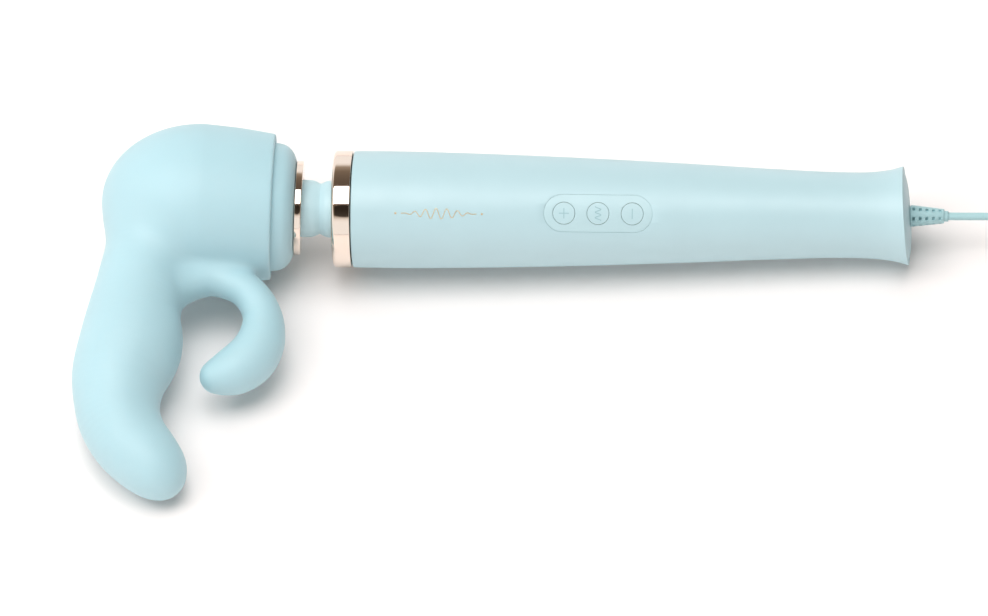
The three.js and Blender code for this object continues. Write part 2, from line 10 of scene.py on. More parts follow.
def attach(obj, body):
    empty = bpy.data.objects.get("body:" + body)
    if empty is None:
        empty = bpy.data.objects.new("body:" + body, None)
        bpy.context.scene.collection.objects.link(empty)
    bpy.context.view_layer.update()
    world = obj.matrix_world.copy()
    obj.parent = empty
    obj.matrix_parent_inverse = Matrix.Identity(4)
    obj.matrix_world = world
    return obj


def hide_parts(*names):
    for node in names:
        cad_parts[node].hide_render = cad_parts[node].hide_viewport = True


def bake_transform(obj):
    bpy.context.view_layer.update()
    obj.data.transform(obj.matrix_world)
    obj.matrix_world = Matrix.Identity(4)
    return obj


# A corded wand massager on a pale table: soft aqua plastic and silicone with polished rose-gold rings.
# Lengths inside a piece's own frame are in millimetres, and place() turns them into the row frame's metres.

MM = 0.001
TAU = 2 * math.pi

# ---- sizes, in millimetres

GAP = 0.3
SEAM = 0.07  # where the keypad's pieces meet
HANDLE_START = 14.8
HANDLE_END = 255
HANDLE_WALL = 2.2
HANDLE_OUTLINE = [
    (HANDLE_START, 25.3), (40, 25.3), (80, 24.5), (120, 23.2), (160, 21.5),
    (200, 19.5), (226, 18.6), (240, 18.8), (249, 19.9), (HANDLE_END, 21.5),
]
SLANT_START = 230
TAIL_SLANT = 0.065
COLLAR_START = 6.3
COLLAR_END = 14.4
COLLAR_RADIUS = 25.4
KEYPAD_CENTRE = 122.3
KEYPAD_LENGTH = 47
KEYPAD_WIDTH = 16.2
BUTTON_PITCH = 14.8
BUTTON_RADIUS = 4.72
BUTTON_HOLE = 4.9
BUTTON_SINK = 0.05  # how far a button's top lies below the handle's surface
BUTTONS = {"plus": -1, "mode": 0, "minus": 1}
KEYPAD_CUT = (10, 40)  # the heights that every cut through the keypad's wall spans
ORNAMENT_START = 34.5
ORNAMENT_END = 72
ORNAMENT_Y = -0.8
ORNAMENT_WAVES = 7

NECK_RADIUS = 12.4
NECK_GROOVE = 0.2
NECK_GROOVE_RADIUS = 10.9
NECK_WALL = 1.4
SPRING_START = -10.4
SPRING_END = 7.2
SPRING_RADIUS = 8.2
SPRING_WIRE_RADIUS = 1.1
SPRING_TURNS = 4
SPRING_SPLIT = 2.35  # the turn at which the two halves meet
SHAFT_RADIUS = 1.5
SHAFT_START = -17.4
SHAFT_END = 20
SHAFT_BALL_RADIUS = 2.3
SHAFT_REAR_START = 2.5  # just clear of the ball

HEAD_RADIUS = 27.9
HEAD_DOME_START = 60
HEAD_TIP = 83.5
HEAD_SKIN = 2.7

SLEEVE_TURN = math.radians(-31.15)
SLEEVE_RIM = 20.3
SLEEVE_RIM_RADIUS = 31.6
SLEEVE_WIDEST = 51
SLEEVE_RADIUS = 34.8
SLEEVE_TIP = 94.8
# The arms' centre lines: (forwards along the head's axis, out from it, radius).
LONG_ARM = [
    (72.1, 16.9, 18), (74.3, 30.8, 18.6), (76.2, 44.5, 19.3), (78.1, 59.4, 20.6), (78.6, 72.1, 22.5),
    (82.4, 86.4, 20.7), (82.9, 98.1, 18.9), (81.3, 108.6, 17.8), (76.3, 118.9, 16.7),
    (69.6, 126.8, 15.5), (64.8, 131.9, 13.7), (62.6, 134.6, 11.6),
]
CURLED_ARM = [
    (58.4, 39.6, 9.6), (52, 37.5, 8.8), (45, 36.5, 8.1), (38.1, 38, 7.8), (31, 41.4, 7.7),
    (25.2, 47.8, 8), (22, 55.8, 8.7), (21.7, 63, 9.8), (22.9, 69.4, 10.7), (26.2, 76, 11.3),
    (31.9, 81.4, 10.8), (36.7, 84, 9.2), (40.3, 85.4, 7.6),
]

RELIEF_START = 256.9
RELIEF_END = 272.4
WINDOW_ROWS = 5
WINDOWS_ROUND = 6
WINDOW_TURN = math.radians(16)

# ---- cord, in metres

CORD_RADIUS = 0.0017
CORD_ROUTE = [
    (0.198, 0.0549, 0.0205), (0.208, 0.0549, 0.02), (0.219, 0.0549, 0.0164), (0.231, 0.0549, 0.0101),
    (0.243, 0.0548, 0.0048), (0.254, 0.0547, 0.0024), (0.265, 0.0547, 0.0018), (0.2795, 0.0549, 0.0024),
]
COIL_CENTRE = (0.294, 0.0276)
COIL_OUTER_TURN = 0.0275
COIL_FIRST_LAYER = 0.003
COIL_LAYERS = 4
COIL_TURNS = 16.5
TURNS_ACROSS = 3.94  # in one layer, rounded up
TURN_PITCH = 0.0035
TAIL_ROUTE = [
    (0.2799, 0.0001, 0.0134), (0.270, 0.0001, 0.0124), (0.260, 0.0001, 0.009), (0.250, -0.0002, 0.0048),
    (0.240, -0.0020, 0.0023), (0.2315, -0.0074, 0.0018), (0.228, -0.0159, 0.0018), (0.231, -0.0239, 0.0022),
    (0.2375, -0.0290, 0.0049), (0.2456, -0.0299, 0.0074), (0.254, -0.0299, 0.0075),
    (0.264, -0.0299, 0.0075),
]

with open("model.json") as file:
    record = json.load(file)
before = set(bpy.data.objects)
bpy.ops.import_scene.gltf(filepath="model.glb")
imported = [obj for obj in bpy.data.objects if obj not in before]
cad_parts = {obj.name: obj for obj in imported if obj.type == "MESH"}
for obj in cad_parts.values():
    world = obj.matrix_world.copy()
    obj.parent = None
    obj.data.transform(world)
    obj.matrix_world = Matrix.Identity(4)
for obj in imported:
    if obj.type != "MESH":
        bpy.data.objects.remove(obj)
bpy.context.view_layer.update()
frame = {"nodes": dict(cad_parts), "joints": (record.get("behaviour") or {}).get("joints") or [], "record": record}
joints = {j["name"]: j for j in frame["joints"]}

# ---- places


def place(x_axis, y_axis):
    """The row-frame matrix of a local frame in millimetres whose origin is the middle of the neck."""
    x = Vector(x_axis).normalized()
    z = x.cross(Vector(y_axis)).normalized()
    y = z.cross(x)
    turn = Matrix((x, y, z)).transposed().to_4x4()
    return Matrix.Translation(joints["neck_side_bend"]["pos_m"]) @ turn @ Matrix.Scale(MM, 4)


ALONG_HANDLE = Vector(joints["motor_spin"]["axis"])
ACROSS_HANDLE = Vector(joints["neck_side_bend"]["axis"]).cross(ALONG_HANDLE)
WAND = place(ALONG_HANDLE, ACROSS_HANDLE)
HEAD = place(joints["eccentric_spin"]["axis"], joints["neck_up_bend"]["axis"])
SLEEVE = HEAD @ Matrix.Rotation(SLEEVE_TURN, 4, "X")
NECK = place(
    ALONG_HANDLE + Vector(joints["eccentric_spin"]["axis"]),
    ACROSS_HANDLE + Vector(joints["neck_up_bend"]["axis"]),
)
TABLE = Matrix.Scale(MM, 4)

# ---- camera and light

STUDIO_LIGHT = 1.0
DARK_PATCH = math.radians(43)  # from straight up, towards the arms' side
DARK_PATCH_EDGE = (0.973, 0.982)  # the cosines, from its middle, where it begins and is darkest
DARK_PATCH_SHARE = 0.15  # of the studio's light
DIM_SIDE = (0.15, 0.7)  # how far towards +X the studio begins to dim and is dimmest
DIM_SIDE_SHARE = 0.25
# The studio's colour at three sines of elevation, between the white sweep and the dim ceiling.
SWEEP = (
    (0.5, (0.9, 0.87, 0.84)),
    (0.6, (0.36, 0.3, 0.24)),
    (0.75, (0.2, 0.155, 0.115)),
)
MIDDLE = (-0.02, 0, 0.02)
VIEW_WIDTH = 0.4291  # across the view, at the neck
CAMERA_DISTANCE = 12
CAMERA_TILT = math.radians(39)  # from straight down, towards the arms' side
CAMERA_TURN = math.radians(5.07)  # towards the tail
HANDLE_DROP = math.radians(0.7)  # how far the handle falls to the right in the view
AIM_RIGHT = 0.0756  # from the neck to the middle of the view, in metres
AIM_DOWN = 0.0431


def add_object(name, data):
    thing = bpy.data.objects.new(name, data)
    bpy.context.scene.collection.objects.link(thing)
    return thing


def make_camera():
    data = bpy.data.cameras.new("camera")
    camera = add_object("camera", data)
    away = math.cos(CAMERA_TURN)
    back = Vector((math.sin(CAMERA_TURN), -math.sin(CAMERA_TILT) * away, math.cos(CAMERA_TILT) * away))
    level = (ALONG_HANDLE - ALONG_HANDLE.project(back)).normalized()
    right = Matrix.Rotation(HANDLE_DROP, 3, back) @ level
    up = back.cross(right)
    aim = WAND.translation + AIM_RIGHT * right - AIM_DOWN * up
    turn = Matrix((right, up, back)).transposed().to_4x4()
    camera.matrix_world = Matrix.Translation(aim + CAMERA_DISTANCE * back) @ turn
    data.sensor_width = 36
    data.lens = data.sensor_width * CAMERA_DISTANCE / VIEW_WIDTH
    data.clip_end = 30
    bpy.context.scene.camera = camera


# ---- curves and outlines


def smooth_path(points, per_span):
    """A centripetal Catmull-Rom curve through the points, as an array."""
    p = np.array(points, float)
    p = np.vstack([2 * p[0] - p[1], p, 2 * p[-1] - p[-2]])
    knots = np.concatenate([[0], np.cumsum(np.sqrt(np.linalg.norm(np.diff(p, axis=0), axis=1)))])
    curve = [p[1]]
    for i in range(1, len(p) - 2):
        t0, t1, t2, t3 = knots[i - 1:i + 3]
        for t in np.linspace(t1, t2, per_span + 1)[1:]:
            a1 = ((t1 - t) * p[i - 1] + (t - t0) * p[i]) / (t1 - t0)
            a2 = ((t2 - t) * p[i] + (t - t1) * p[i + 1]) / (t2 - t1)
            a3 = ((t3 - t) * p[i + 1] + (t - t2) * p[i + 2]) / (t3 - t2)
            b1 = ((t2 - t) * a1 + (t - t0) * a2) / (t2 - t0)
            b2 = ((t3 - t) * a2 + (t - t1) * a3) / (t3 - t1)
            curve.append(((t2 - t) * b1 + (t - t1) * b2) / (t2 - t1))
    return np.array(curve)


def filleted(corners, steps):
    """A closed outline with rounded corners, from (x, r, fillet radius) corners."""
    outline = []
    for i, (x, r, radius) in enumerate(corners):
        here = np.array([x, r], float)
        if radius == 0:
            outline.append(here)
            continue
        before = np.array(corners[i - 1][:2], float) - here
        after = np.array(corners[(i + 1) % len(corners)][:2], float) - here
        before /= np.linalg.norm(before)
        after /= np.linalg.norm(after)
        half = math.acos(np.clip(before @ after, -1, 1)) / 2
        back = radius / math.tan(half)
        middle = before + after
        centre = here + middle / np.linalg.norm(middle) * radius / math.sin(half)
        start = here + before * back - centre
        end = here + after * back - centre
        turn = math.atan2(start[0] * end[1] - start[1] * end[0], start @ end)
        for j in range(steps + 1):
            a = turn * j / steps
            rotated = [start[0] * math.cos(a) - start[1] * math.sin(a),
                       start[0] * math.sin(a) + start[1] * math.cos(a)]
            outline.append(centre + rotated)
    return outline


def dome(start, radius, tip, steps):
    """A quarter ellipse from (start, radius) to (tip, 0)."""
    angles = np.linspace(0, math.pi / 2, steps + 1)
    return [(start + (tip - start) * math.sin(a), radius * math.cos(a)) for a in angles[:-1]] + [(tip, 0)]


HANDLE_CURVE = smooth_path(HANDLE_OUTLINE, 8)


def handle_radius(x):
    return float(np.interp(x, HANDLE_CURVE[:, 0], HANDLE_CURVE[:, 1]))


def handle_height(x, y):
    """The handle's upper surface over a point of its plan."""
    return math.sqrt(handle_radius(x) ** 2 - y * y)


# ---- making pieces


def mesh_of(name, bm):
    mesh = bpy.data.meshes.new(name)
    bm.to_mesh(mesh)
    bm.free()
    return mesh


def band(bm, near, far):
    """Quads between two closed loops of as many vertices."""
    for i in range(len(near)):
        j = (i + 1) % len(near)
        bm.faces.new((near[i], near[j], far[j], far[i]))


def make_piece(name, bm, matrix, material, sharp=35):
    """A bmesh in local millimetres becomes a smooth-shaded object in the row frame."""
    bmesh.ops.remove_doubles(bm, verts=bm.verts, dist=1e-4)
    bmesh.ops.recalc_face_normals(bm, faces=bm.faces)
    mesh = mesh_of(name, bm)
    mesh.transform(matrix)
    mesh.shade_smooth()
    mesh.set_sharp_from_angle(angle=math.radians(sharp))
    piece = add_object(name, mesh)
    mesh.materials.append(material)
    return piece


def lathe(outline, segments, start=0.0, sweep=TAU):
    """A closed outline of (x, r) turned about X, all round or over a sweep with flat ends."""
    bm = bmesh.new()
    whole = sweep == TAU
    count = segments if whole else segments + 1
    rings = []
    for i in range(count):
        a = start + sweep * i / segments
        rings.append([bm.verts.new((x, r * math.cos(a), r * math.sin(a))) for x, r in outline])
    for i in range(segments):
        band(bm, rings[i], rings[(i + 1) % count])
    if not whole:
        bm.faces.new(rings[0])
        bm.faces.new(rings[-1])
    bmesh.ops.remove_doubles(bm, verts=bm.verts, dist=1e-4)
    bmesh.ops.dissolve_degenerate(bm, edges=bm.edges, dist=1e-5)
    return bm


def prism(outline, bottom, top):
    """A plan outline of (x, y) points pulled up from bottom to top."""
    bm = bmesh.new()
    low = [bm.verts.new((x, y, bottom)) for x, y in outline]
    high = [bm.verts.new((x, y, top)) for x, y in outline]
    bm.faces.new(low[::-1])
    bm.faces.new(high)
    band(bm, low, high)
    return bm


def circle(x, y, radius, steps=64):
    angles = [TAU * i / steps for i in range(steps)]
    return [(x + radius * math.cos(a), y + radius * math.sin(a)) for a in angles]


def stadium(centre, length, width, steps=24):
    """A slot-shaped plan outline along X."""
    r = width / 2
    half = length / 2 - r
    right = [(centre + half + r * math.sin(a), -r * math.cos(a)) for a in np.linspace(0, math.pi, steps)]
    left = [(centre - half - r * math.sin(a), r * math.cos(a)) for a in np.linspace(0, math.pi, steps)]
    return right + left


def rounded_rectangle(x, y, length, width, radius, steps=6):
    corners = [(length / 2, width / 2, 0), (-length / 2, width / 2, 1), (-length / 2, -width / 2, 2),
               (length / 2, -width / 2, 3)]
    outline = []
    for cx, cy, quarter in corners:
        ox = x + cx - math.copysign(radius, cx)
        oy = y + cy - math.copysign(radius, cy)
        for i in range(steps + 1):
            a = (quarter + i / steps) * math.pi / 2
            outline.append((ox + radius * math.cos(a), oy + radius * math.sin(a)))
    return outline


def object_of(bm):
    """A bare object for a boolean."""
    bmesh.ops.recalc_face_normals(bm, faces=bm.faces)
    return add_object("tool", mesh_of("tool", bm))


def joined(parts):
    """Separate bmeshes as one."""
    whole = bmesh.new()
    for part in parts:
        mesh = mesh_of("part", part)
        whole.from_mesh(mesh)
        bpy.data.meshes.remove(mesh)
    return whole


def boolean(bm, other, operation="DIFFERENCE", bevel=0.0, bevel_angle=40):
    """bm with other cut from it, or kept in common, and the sharp edges softened."""
    subject = object_of(bm)
    tool = object_of(other)
    modifier = subject.modifiers.new("cut", "BOOLEAN")
    modifier.operation = operation
    modifier.solver = "EXACT"
    modifier.object = tool
    result = soften(subject, bevel, bevel_angle)
    bpy.data.objects.remove(tool)
    return result


def soften(subject, width, angle=40, segments=2):
    """The bmesh of an object with its modifiers applied and its sharp edges bevelled."""
    if width:
        bevel = subject.modifiers.new("bevel", "BEVEL")
        bevel.width = width
        bevel.segments = segments
        bevel.limit_method = "ANGLE"
        bevel.angle_limit = math.radians(angle)
        bevel.use_clamp_overlap = True
    bpy.context.view_layer.update()
    depsgraph = bpy.context.evaluated_depsgraph_get()
    mesh = bpy.data.meshes.new_from_object(subject.evaluated_get(depsgraph))
    bm = bmesh.new()
    bm.from_mesh(mesh)
    bpy.data.objects.remove(subject)
    bpy.data.meshes.remove(mesh)
    bmesh.ops.remove_doubles(bm, verts=bm.verts, dist=1e-4)
    return bm


def stroke(points, width, surface, lift, depth=0.3, round_steps=5):
    """A raised line of the given width that lies on surface(x, y) and has round ends."""
    line = np.array(points, float)
    along = np.gradient(line, axis=0)
    along /= np.linalg.norm(along, axis=1)[:, None]
    sections = []
    half = width / 2
    for i in range(round_steps):
        a = math.pi / 2 * (i + 0.5) / round_steps
        sections.append((line[0] - along[0] * half * math.cos(a), along[0], half * math.sin(a)))
    sections += [(p, t, half) for p, t in zip(line, along)]
    for i in reversed(range(round_steps)):
        a = math.pi / 2 * (i + 0.5) / round_steps
        sections.append((line[-1] + along[-1] * half * math.cos(a), along[-1], half * math.sin(a)))
    bm = bmesh.new()
    loops = []
    for centre, direction, reach in sections:
        side = np.array([-direction[1], direction[0]]) * reach
        loop = []
        for sign, height in ((1, -depth), (1, lift), (-1, lift), (-1, -depth)):
            x, y = centre + sign * side
            loop.append(bm.verts.new((x, y, surface(x, y) + height)))
        loops.append(loop)
    for near, far in zip(loops, loops[1:]):
        band(bm, near, far)
    bm.faces.new(loops[0])
    bm.faces.new(loops[-1])
    bmesh.ops.recalc_face_normals(bm, faces=bm.faces)
    return bm


# ---- materials


NOISE_LOW, NOISE_HIGH = 0.3, 0.7  # where most of a noise texture's values lie


def map_range(tree, value, spans):
    """A value carried from one span to another, as (from start, from end, to start, to end)."""
    node = tree.nodes.new("ShaderNodeMapRange")
    for socket, number in zip(("From Min", "From Max", "To Min", "To Max"), spans):
        node.inputs[socket].default_value = number
    tree.links.new(value, node.inputs["Value"])
    return node.outputs["Result"]


class Surface:
    """A Principled material with a mottled colour, a mottled roughness and a fine bump."""

    def __init__(self, name, colour, roughness, metallic=0.0):
        self.material = bpy.data.materials.new(name)
        self.material.use_nodes = True
        self.nodes = self.material.node_tree.nodes
        self.links = self.material.node_tree.links
        self.shader = self.nodes["Principled BSDF"]
        self.where = self.nodes.new("ShaderNodeTexCoord").outputs["Object"]
        self.shader.inputs["Base Color"].default_value = (*colour, 1)
        self.shader.inputs["Roughness"].default_value = roughness
        self.shader.inputs["Metallic"].default_value = metallic
        self.colour = colour
        self.roughness = roughness

    def set(self, **sockets):
        for name, value in sockets.items():
            self.shader.inputs[name.replace("_", " ").title().replace("Ior", "IOR")].default_value = value
        return self

    def noise(self, scale, detail, stretch):
        texture = self.nodes.new("ShaderNodeTexNoise")
        texture.inputs["Scale"].default_value = scale
        texture.inputs["Detail"].default_value = detail
        source = self.where
        if stretch:
            mapping = self.nodes.new("ShaderNodeMapping")
            mapping.inputs["Scale"].default_value = stretch
            self.links.new(source, mapping.inputs["Vector"])
            source = mapping.outputs["Vector"]
        self.links.new(source, texture.inputs["Vector"])
        return texture.outputs["Fac"]

    def ramp(self, value, low, high):
        ramp = self.nodes.new("ShaderNodeValToRGB")
        ramp.color_ramp.elements[0].position = NOISE_LOW
        ramp.color_ramp.elements[1].position = NOISE_HIGH
        ramp.color_ramp.elements[0].color = (*low, 1)
        ramp.color_ramp.elements[1].color = (*high, 1)
        self.links.new(value, ramp.inputs["Fac"])
        return ramp.outputs["Color"]

    def mottle(self, scale, amount, stretch=None):
        """The colour wanders a little either side of itself."""
        low = [c * (1 - amount) for c in self.colour]
        high = [min(1, c * (1 + amount)) for c in self.colour]
        colour = self.ramp(self.noise(scale, 3, stretch), low, high)
        self.links.new(colour, self.shader.inputs["Base Color"])
        return self

    def smudge(self, scale, amount, stretch=None):
        """The roughness wanders too, as where a surface has been handled."""
        low = max(0.02, self.roughness - amount)
        high = min(1, self.roughness + amount)
        noise = self.noise(scale, 5, stretch)
        spread = map_range(self.material.node_tree, noise, (NOISE_LOW, NOISE_HIGH, low, high))
        self.links.new(spread, self.shader.inputs["Roughness"])
        return self

    def grain(self, scale, height, strength=0.3, stretch=None):
        """A fine bump, its height in metres."""
        bump = self.nodes.new("ShaderNodeBump")
        bump.inputs["Strength"].default_value = strength
        bump.inputs["Distance"].default_value = height
        self.links.new(self.noise(scale, 2, stretch), bump.inputs["Height"])
        self.links.new(bump.outputs["Normal"], self.shader.inputs["Normal"])
        return self


def make_materials():
    made = {
        "shell": Surface("aqua_soft_touch_plastic", (0.455, 0.65, 0.70), 0.48)
        .mottle(60, 0.012).smudge(90, 0.05).grain(4500, 0.00002).set(ior=1.6, specular_ior_level=0.9),
        "silicone": Surface("aqua_silicone", (0.42, 0.65, 0.715), 0.58)
        .mottle(40, 0.015).smudge(70, 0.06).grain(3000, 0.00002)
        .set(subsurface_weight=0.12, subsurface_radius=(0.5, 0.9, 1.0), subsurface_scale=0.004,
             sheen_weight=0.12, ior=1.6, specular_ior_level=0.9),
        # The neck's silicone is a paler copy of the sleeve's. It is painted light that brightens the shade the
        # lamps leave on the neck.
        "neck": Surface("neck_silicone_painted_lighter", (0.53, 0.77, 0.84), 0.5)
        .mottle(60, 0.012).smudge(90, 0.05).grain(4000, 0.00002).set(ior=1.6, specular_ior_level=0.9),
        "keypad": Surface("aqua_keypad_silicone", (0.47, 0.665, 0.71), 0.5)
        .mottle(80, 0.012).smudge(120, 0.05).grain(5000, 0.000015).set(ior=1.6, specular_ior_level=0.9),
        "marks": Surface("darker_aqua_marks", (0.33, 0.53, 0.57), 0.5)
        .mottle(200, 0.03).smudge(200, 0.05).grain(6000, 0.00001),
        "rose_gold": Surface("polished_rose_gold", (0.90, 0.77, 0.67), 0.06, 1.0)
        .mottle(120, 0.015).smudge(300, 0.02, (6, 1, 1)).grain(2500, 0.000002, 0.1),
        "gold_foil": Surface("gold_foil", (0.86, 0.69, 0.42), 0.38, 0.7)
        .mottle(300, 0.04).smudge(400, 0.06).grain(6000, 0.000006),
        "cord": Surface("aqua_cord_jacket", (0.40, 0.62, 0.65), 0.48)
        .mottle(80, 0.02).smudge(150, 0.06).grain(3500, 0.00002),
        "steel": Surface("plain_steel", (0.56, 0.57, 0.58), 0.3, 1.0)
        .mottle(200, 0.03).smudge(250, 0.08, (1, 8, 8)).grain(3000, 0.00001, 0.2, (1, 10, 10)),
        "brass": Surface("turned_brass", (0.72, 0.53, 0.25), 0.28, 1.0)
        .mottle(150, 0.04).smudge(250, 0.06).grain(3000, 0.00001, 0.2),
        "copper": Surface("enamelled_copper", (0.60, 0.24, 0.11), 0.35, 0.9)
        .mottle(900, 0.12, (0.2, 1, 1)).smudge(300, 0.08).grain(1500, 0.0001, 0.5, (0.2, 1, 1)),
        "black": Surface("black_moulded_plastic", (0.022, 0.022, 0.024), 0.45)
        .mottle(120, 0.1).smudge(120, 0.07).grain(2600, 0.00004, 0.4),
        "white": Surface("white_moulded_plastic", (0.80, 0.81, 0.82), 0.4)
        .mottle(80, 0.02).smudge(100, 0.05).grain(2500, 0.00002),
        "grey_rubber": Surface("grey_rubber", (0.16, 0.17, 0.18), 0.75)
        .mottle(150, 0.08).smudge(150, 0.08).grain(2000, 0.00005),
        "magnet": Surface("dark_ferrite", (0.055, 0.055, 0.06), 0.55, 0.3)
        .mottle(400, 0.15).smudge(300, 0.1).grain(2500, 0.00004),
        "board": Surface("green_circuit_board", (0.02, 0.16, 0.07), 0.35)
        .mottle(300, 0.1).smudge(200, 0.06).grain(2500, 0.00002),
        "red": Surface("red_wire_insulation", (0.52, 0.03, 0.02), 0.4)
        .mottle(200, 0.06).smudge(200, 0.06).grain(3000, 0.00002),
    }
    return {name: surface.material for name, surface in made.items()}


CAD_FINISHES = {
    "shell_plastic": "shell", "silicone": "silicone", "cord_jacket": "cord", "rose_gold": "rose_gold",
    "steel": "steel", "brass": "brass", "copper_winding": "copper", "black_plastic": "black",
    "white_plastic": "white", "grey_rubber": "grey_rubber", "magnet": "magnet", "board": "board",
    "red_insulation": "red",
}


def finish_cad_nodes():
    """Each CAD node gets the finish of its slot."""
    for part in frame["record"]["subparts"]:
        node = frame["nodes"][part["node"]]
        material = materials[CAD_FINISHES[part["material_slot"]]]
        if node.material_slots:
            node.material_slots[0].material = material
        else:
            node.data.materials.append(material)


# ---- cord


def coil_points():
    """Layers of side-by-side turns: inwards, up one, outwards, up one, and so on, ending outside."""
    climb = 0.25  # of a turn, from one layer to the next
    climb_steps = 9
    layer_turns = (COIL_TURNS - climb * (COIL_LAYERS - 1)) / COIL_LAYERS
    points = []
    turns = 0.0
    inner = COIL_OUTER_TURN - TURN_PITCH * layer_turns
    for layer in range(COIL_LAYERS):
        start, end = (COIL_OUTER_TURN, inner) if layer % 2 == 0 else (inner, COIL_OUTER_TURN)
        height = COIL_FIRST_LAYER + layer * TURN_PITCH
        steps = round(layer_turns * 36)
        for i in range(steps + 1):
            points.append((turns + layer_turns * i / steps, start + (end - start) * i / steps, height))
        turns += layer_turns
        if layer < COIL_LAYERS - 1:
            for i in range(1, climb_steps):
                rise = (1 - math.cos(math.pi * i / climb_steps)) / 2 * TURN_PITCH
                points.append((turns + climb * i / climb_steps, end, height + rise))
            turns += climb
    x, y = COIL_CENTRE
    return [(x + r * math.sin(TAU * t), y + r * math.cos(TAU * t), z) for t, r, z in points]


def make_cord():
    exit_point = WAND @ Vector((RELIEF_END + 0.1, 0, 0))
    further = WAND @ Vector((RELIEF_END + 4, 0, 0))
    coil = coil_points()
    lead = smooth_path([exit_point, further, *CORD_ROUTE, coil[0]], 8)
    tail = smooth_path([coil[-1], *TAIL_ROUTE], 8)
    route = np.vstack([lead[:-1], coil, tail[1:]])
    data = bpy.data.curves.new("supply_cord", "CURVE")
    data.dimensions = "3D"
    data.bevel_depth = CORD_RADIUS
    data.bevel_resolution = 4
    data.use_fill_caps = True
    spline = data.splines.new("POLY")
    spline.points.add(len(route) - 1)
    for point, co in zip(spline.points, route):
        point.co = (*co, 1)
    spline.use_smooth = True
    data.materials.append(materials["cord"])
    cord = add_object("supply_cord", data)
    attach(cord, "handle")
    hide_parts("cord_lead", "cord_coil", "cord_tail")
    return cord, exit_point


def make_tie():
    """A soft strap round the coil's turns on the side away from the handle."""
    x, y = (c / MM for c in COIL_CENTRE)
    inner_turn = (COIL_OUTER_TURN - TURN_PITCH * TURNS_ACROSS) / MM
    left = x + inner_turn - 3
    right = x + COIL_OUTER_TURN / MM + 2.7
    low, high = 0.1, 16.4
    middle = ((left + right) / 2, (low + high) / 2)
    both_walls = 1.8
    outer = rounded_rectangle(*middle, right - left, high - low, 3)
    inner = rounded_rectangle(*middle, right - left - both_walls, high - low - both_walls, 2.1)
    half_width = 3
    bm = bmesh.new()
    loops = []
    for offset in (-half_width, half_width):
        loops.append([[bm.verts.new((px, y + offset, pz)) for px, pz in o] for o in (outer, inner)])
    (near_out, near_in), (far_out, far_in) = loops
    for sides in ((near_out, far_out), (near_in, far_in), (near_out, near_in), (far_out, far_in)):
        band(bm, *sides)
    bmesh.ops.recalc_face_normals(bm, faces=bm.faces)
    bm = soften(object_of(bm), 0.25)
    tie = make_piece("coil_strap", bm, TABLE, materials["black"])
    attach(tie, "handle")
    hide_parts("cord_tie")
    return tie


# ---- adapter

ADAPTER_START = 262
ADAPTER_Y = -29.9
ADAPTER_SIZE = (62, 40, 27)
ADAPTER_EXIT_HEIGHT = 7.5
ADAPTER_WALL = 2
BLADE_SPACING = 12.7
BLADE_X = ADAPTER_START + ADAPTER_SIZE[0] - 18


def adapter_shell(name, node, bottom, top, cavity, cuts):
    length, width, _ = ADAPTER_SIZE
    middle = ADAPTER_START + length / 2
    body = prism(rounded_rectangle(middle, ADAPTER_Y, length, width, 4, 8), bottom, top)
    body = soften(object_of(body), 1.6, 60, 4)
    room = rounded_rectangle(middle, ADAPTER_Y, length - 2 * ADAPTER_WALL, width - 2 * ADAPTER_WALL, 2.4)
    body = boolean(body, joined([prism(room, *cavity), *cuts]))
    shell = make_piece(name, body, TABLE, materials["black"])
    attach(shell, "handle")
    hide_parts(node)
    return shell


